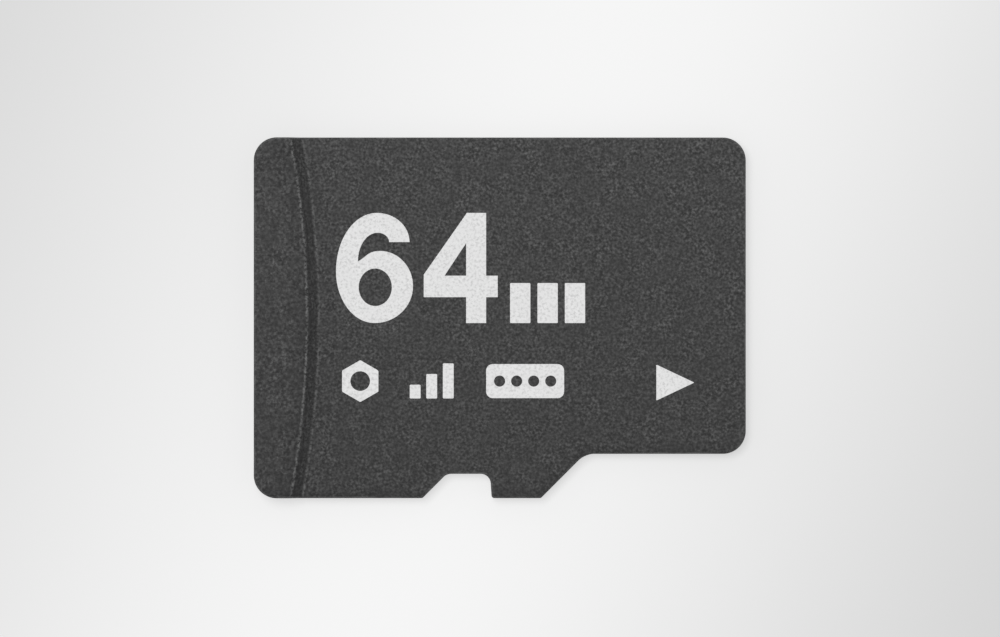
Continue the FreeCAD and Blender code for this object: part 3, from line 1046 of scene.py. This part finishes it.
def buried_tracks(tree, place):
    """A mask of the copper that shows through the lacquer behind the contacts."""
    boxes = [node_box(node) for node in CONTACT_NODES]
    middles = [(low.y + high.y) / 2 for low, high in boxes]
    last = len(middles) - 1
    pitch = (middles[last] - middles[0]) / last
    rear = min(low.x for low, _ in boxes)
    pad_middle = rear - TRACK_LENGTH
    axes = axes_of(tree, place)
    number = calculate(tree, "DIVIDE", difference(tree, axes["Y"], middles[0] * MM), pitch * MM)
    nearest = calculate(tree, "ROUND", graded(tree, number, (0, last), (0, last)))
    aside = product(tree, difference(tree, number, nearest), pitch * MM)
    is_long = calculate(tree, "MODULO", nearest, 2.0)
    pad_place = between(tree, is_long, pad_middle * MM, (pad_middle - TRACK_EXTRA) * MM)
    from_pad = difference(tree, axes["X"], pad_place)
    reach = add_node(tree, "ShaderNodeCombineXYZ", {"X": from_pad, "Y": aside}).outputs["Vector"]
    pad = within(tree, calculate_vector(tree, "LENGTH", reach)["Value"], PAD_RADIUS)
    beside = within(tree, calculate(tree, "ABSOLUTE", aside), TRACK_HALF_WIDTH)
    before_pad = graded(tree, from_pad, (0, TRACK_FADE * MM))
    behind_contact = graded(tree, axes["X"], (rear * MM, (rear + TRACK_FADE) * MM), (1, 0))
    track = product(tree, beside, product(tree, before_pad, behind_contact))
    return calculate(tree, "MAXIMUM", pad, track)


# The lacquer's colours, dark to light, and over threads and tracks, and its grains to the millimetre
LACQUER_TONES = (rgb(0.003, 0.004, 0.004), rgb(0.052, 0.056, 0.054))
THREAD_TINT = rgb(0.07, 0.075, 0.068)
TRACK_TINT = rgb(0.085, 0.09, 0.076)
LACQUER_GRAIN = 9

# The cloth under it: how close and wavy its threads are, and the height of grain and tracks beside them
THREADS = 0.75
THREAD_WAVER = 0.6
GRAIN_RELIEF = 0.3
TRACK_RELIEF = 2.0


def solder_mask():
    """Black satin lacquer over copper tracks, with the weave of the laminate's cloth faint under it."""
    finish, tree, shader, place = new_finish("solder_mask", Specular_IOR_Level=0.5)
    grain = grain_at(tree, place, LACQUER_GRAIN)
    threads = {"Vector": place, "Scale": THREADS / MM, "Distortion": THREAD_WAVER}
    ways = [add_node(tree, "ShaderNodeTexWave", threads, bands_direction=axis) for axis in "XY"]
    weave = product(tree, *(way.outputs["Fac"] for way in ways))
    tracks = buried_tracks(tree, place)
    colour = blended(tree, grain["Tone"], *LACQUER_TONES)
    colour = blended(tree, faded(tree, weave, share=0.25), colour, THREAD_TINT)
    colour = blended(tree, faded(tree, tracks, share=0.5), colour, TRACK_TINT)
    height = total(tree, weave, product(tree, grain["Height"], GRAIN_RELIEF))
    height = total(tree, height, product(tree, tracks, TRACK_RELIEF))
    lead_to(tree, shader, Base_Color=colour, Roughness=between(tree, grain["Tone"], 0.36, 0.5),
            Normal=bump(tree, height, strength=0.4, depth=0.006))
    return finish


# The laminate's side: its core's half height, its colours, and threads and saw lines to the millimetre
CORE_HALF = 0.07
CORE_FADE = 0.008
CORE_TONES = (rgb(0.03, 0.026, 0.018), rgb(0.085, 0.075, 0.05))
CORE_DUST = rgb(0.03, 0.028, 0.024)
EDGE_LACQUER = rgb(0.014, 0.015, 0.015)
CORE_THREADS = (5, 5, 40)
LAMINATE_SAW_LINES = (24, 24, 2)


def laminate_edge():
    """The laminate's sawn side: lacquer above and below a core of resin and cloth."""
    finish, tree, shader, place = new_finish("laminate_edge", Specular_IOR_Level=0.4)
    middle = (LAMINATE_LOW.z + LAMINATE_HIGH.z) / 2
    from_middle = apart(tree, axes_of(tree, place)["Z"], middle * MM)
    core = graded(tree, from_middle, (CORE_HALF * MM, (CORE_HALF + CORE_FADE) * MM), (1, 0))
    saw_lines = streaks_at(tree, place, LAMINATE_SAW_LINES)
    core_colour = blended(tree, streaks_at(tree, place, CORE_THREADS), *CORE_TONES)
    core_colour = blended(tree, faded(tree, saw_lines, share=0.35), core_colour, CORE_DUST)
    lead_to(tree, shader, Base_Color=blended(tree, core, EDGE_LACQUER, core_colour),
            Roughness=between(tree, saw_lines, 0.7, 0.5),
            Normal=bump(tree, saw_lines, strength=0.35, depth=0.006))
    return finish


# The plating's colours, dark to light, and its grains and wipe marks to the millimetre
PLATING_TONES = (rgb(0.78, 0.5, 0.17), rgb(0.9, 0.66, 0.3))
WIPED_GOLD = rgb(0.94, 0.74, 0.42)
PLATING_GRAIN = 10
WIPE_MARKS = (0.5, 26, 1)


def contact_gold():
    """Gold plating with faint wipe marks along the way the card goes in."""
    finish, tree, shader, place = new_finish("contact_gold", Metallic=1.0)
    wipes = streaks_at(tree, place, WIPE_MARKS)
    grain = grain_at(tree, place, PLATING_GRAIN)
    colour = blended(tree, grain["Tone"], *PLATING_TONES)
    colour = blended(tree, faded(tree, wipes, share=0.3), colour, WIPED_GOLD)
    lead_to(tree, shader, Base_Color=colour, Roughness=between(tree, wipes, 0.32, 0.2),
            Normal=bump(tree, total(tree, wipes, grain["Height"]), strength=0.15, depth=0.002))
    return finish


# Finishes of the pieces that the moulding holds

# Colours, dark to light, grains and lines to the millimetre, and the length of a capacitor's tinned end
SILICON_TONES = (rgb(0.13, 0.14, 0.17), rgb(0.24, 0.25, 0.28))
GRINDING_LINES = (20, 0.6, 1)
FILM_TONES = (rgb(0.24, 0.16, 0.07), rgb(0.36, 0.26, 0.13))
FILM_GRAIN = 8
CERAMIC_TONES = (rgb(0.3, 0.21, 0.13), rgb(0.46, 0.34, 0.22))
TIN_TONES = (rgb(0.6, 0.6, 0.58), rgb(0.78, 0.78, 0.76))
CAPACITOR_GRAIN = 30
CAPACITOR_END = 0.15
CAPACITOR_FADE = 0.005
WIRE_TONES = (rgb(0.84, 0.58, 0.2), rgb(0.95, 0.72, 0.34))
WIRE_GRAIN = 40


def chip_silicon():
    """Ground silicon with fine grinding lines."""
    finish, tree, shader, place = new_finish("chip_silicon", Metallic=0.35)
    lines = streaks_at(tree, place, GRINDING_LINES)
    lead_to(tree, shader, Base_Color=blended(tree, lines, *SILICON_TONES),
            Roughness=between(tree, lines, 0.22, 0.34),
            Normal=bump(tree, lines, strength=0.1, depth=0.001))
    return finish


def chip_film():
    """Amber adhesive film, slightly mottled."""
    finish, tree, shader, place = new_finish("chip_film")
    tone = grain_at(tree, place, FILM_GRAIN)["Tone"]
    lead_to(tree, shader, Base_Color=blended(tree, tone, *FILM_TONES),
            Roughness=between(tree, tone, 0.45, 0.6))
    return finish


def capacitor_finish():
    """Tan ceramic between two tinned ends."""
    finish, tree, shader, place = new_finish("capacitor_finish")
    low, high = node_box(CAPACITOR_NODES[0])
    from_middle = apart(tree, axes_of(tree, place)["X"], (low.x + high.x) / 2 * MM)
    edge = (high.x - low.x) / 2 - CAPACITOR_END
    is_end = graded(tree, from_middle, (edge * MM, (edge + CAPACITOR_FADE) * MM))
    tone = grain_at(tree, place, CAPACITOR_GRAIN)["Tone"]
    ceramic = blended(tree, tone, *CERAMIC_TONES)
    tin = blended(tree, tone, *TIN_TONES)
    lead_to(tree, shader, Base_Color=blended(tree, is_end, ceramic, tin), Metallic=is_end,
            Roughness=between(tree, tone, 0.35, 0.5))
    return finish


def wire_gold():
    """Bright drawn gold."""
    finish, tree, shader, place = new_finish("wire_gold", Metallic=1.0)
    tone = grain_at(tree, place, WIRE_GRAIN)["Tone"]
    lead_to(tree, shader, Base_Color=blended(tree, tone, *WIRE_TONES),
            Roughness=between(tree, tone, 0.15, 0.28))
    return finish


def dress_embedded_pieces():
    """Gives the pieces inside the moulding their finishes."""
    for finish, nodes in ((chip_silicon(), CHIP_NODES), (chip_film(), FILM_NODES),
                          (capacitor_finish(), CAPACITOR_NODES), (wire_gold(), WIRE_NODES)):
        for node in nodes:
            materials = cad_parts[node].data.materials
            materials.clear()
            materials.append(finish)


# Surroundings

# The pale surface, a little below the card, and how much of its brightness is glow
SURFACE_DROP = 0.01
SURFACE_SIDE = 3000
SURFACE_GLOW = 0.65

# The band of painted light on it: its tones in the middle and outside, how far it reaches, the way
# across it, and how distance counts on its slower side
BAND_TONES = (grey(0.922), grey(0.652))
BAND_REACH = 24
BAND_ACROSS = (1, -0.4, 0)
BAND_SLOWER_SIDE = -0.87

# The room's light, and how bright the room looks
ROOM_LIGHT = 0.45
ROOM_SEEN = 0.85

# The lamp, in metres and watts
LAMP_POWER = 2.1
LAMP_SIDE = 0.25
LAMP_DISTANCE = 0.6
LAMP_HEADING = math.radians(135)
LAMP_HEIGHT = math.radians(77)

# The camera, and the width that it takes in at the face's level
FRAME_WIDTH = 30.5
VIEW_MIDDLE = Vector((0.003, -0.021, FACE_HEIGHT))
LENS = 300
SENSOR = 36
NEAREST_SEEN = 1
FARTHEST_SEEN = 1000


def pale_surface_finish():
    """Pale grey with a soft band of painted light through the middle, and a glow that keeps the shadow
    light.

    From below it isn't seen."""
    finish, tree, shader, place = new_finish("pale_surface", Roughness=0.9, Specular_IOR_Level=0.0)
    across = calculate_vector(tree, "DOT_PRODUCT", place, BAND_ACROSS)["Value"]
    distance = calculate(tree, "MAXIMUM", across, product(tree, across, BAND_SLOWER_SIDE))
    fall = graded(tree, distance, (0, BAND_REACH * MM), interpolation_type="SMOOTHSTEP")
    # A band of painted light, brightest along its middle
    colour = blended(tree, fall, *BAND_TONES)
    lead_to(tree, shader, Base_Color=colour)
    glow = add_node(tree, "ShaderNodeEmission", {"Color": colour}).outputs["Emission"]
    seen = add_node(tree, "ShaderNodeMixShader", {0: SURFACE_GLOW, 1: shader.outputs["BSDF"], 2: glow})
    from_below = add_node(tree, "ShaderNodeNewGeometry").outputs["Backfacing"]
    clear = add_node(tree, "ShaderNodeBsdfTransparent").outputs["BSDF"]
    choice = add_node(tree, "ShaderNodeMixShader", {0: from_below, 1: seen.outputs["Shader"], 2: clear})
    tree.links.new(choice.outputs["Shader"], tree.nodes["Material Output"].inputs["Surface"])
    return finish


def lay_surface():
    """The surface that the card lies on. It takes the card's shadow and shades nothing itself."""
    surface = begin(bpy.ops.mesh.primitive_plane_add, "pale_surface", size=SURFACE_SIDE * MM,
                    location=(0, 0, -SURFACE_DROP * MM))
    leave_edit_mode()
    add_materials(surface, pale_surface_finish())
    surface.visible_diffuse = False
    surface.visible_glossy = False
    surface.visible_shadow = False


def light_room():
    """Even light all round, which reflections and the camera see as a pale room."""
    world = bpy.data.worlds.new("pale_room")
    world.use_nodes = True
    tree = world.node_tree
    rays = add_node(tree, "ShaderNodeLightPath").outputs
    is_seen = calculate(tree, "MAXIMUM", rays["Is Camera Ray"], rays["Is Glossy Ray"])
    is_seen = calculate(tree, "MAXIMUM", is_seen, rays["Is Transmission Ray"])
    background = tree.nodes["Background"]
    background.inputs["Color"].default_value = grey(1.0)
    lead_to(tree, background, Strength=between(tree, is_seen, ROOM_LIGHT, ROOM_SEEN))
    bpy.context.scene.world = world


def hang_lamp():
    """A broad soft lamp above the card's trailing plain corner."""
    lamp = bpy.data.lights.new("soft_lamp", "AREA")
    lamp.shape = "SQUARE"
    lamp.size = LAMP_SIDE
    lamp.energy = LAMP_POWER
    hung = bpy.data.objects.new("soft_lamp", lamp)
    level = Vector((math.cos(LAMP_HEADING), math.sin(LAMP_HEADING), 0)) * math.cos(LAMP_HEIGHT)
    towards = level + Vector((0, 0, math.sin(LAMP_HEIGHT)))
    hung.location = towards * LAMP_DISTANCE
    hung.rotation_euler = towards.to_track_quat("Z", "Y").to_euler()
    bpy.context.scene.collection.objects.link(hung)


def set_camera():
    """A long lens that looks straight down on the printed face."""
    camera = bpy.data.cameras.new("camera")
    camera.lens = LENS
    camera.sensor_width = SENSOR
    camera.clip_start = NEAREST_SEEN * MM
    camera.clip_end = FARTHEST_SEEN * MM
    held = bpy.data.objects.new("camera", camera)
    held.location = (VIEW_MIDDLE + Vector((0, 0, FRAME_WIDTH * LENS / SENSOR))) * MM
    bpy.context.scene.collection.objects.link(held)
    bpy.context.scene.camera = held


moulded_card(moulding_face(), moulding_rim(), moulding_wall())
laminate_card(solder_mask(), laminate_edge())
contact_plates(contact_gold())
print_face(print_ink())
dress_embedded_pieces()
lay_surface()
light_room()
hang_lamp()
set_camera()
bpy.context.scene.view_settings.view_transform = "Standard"
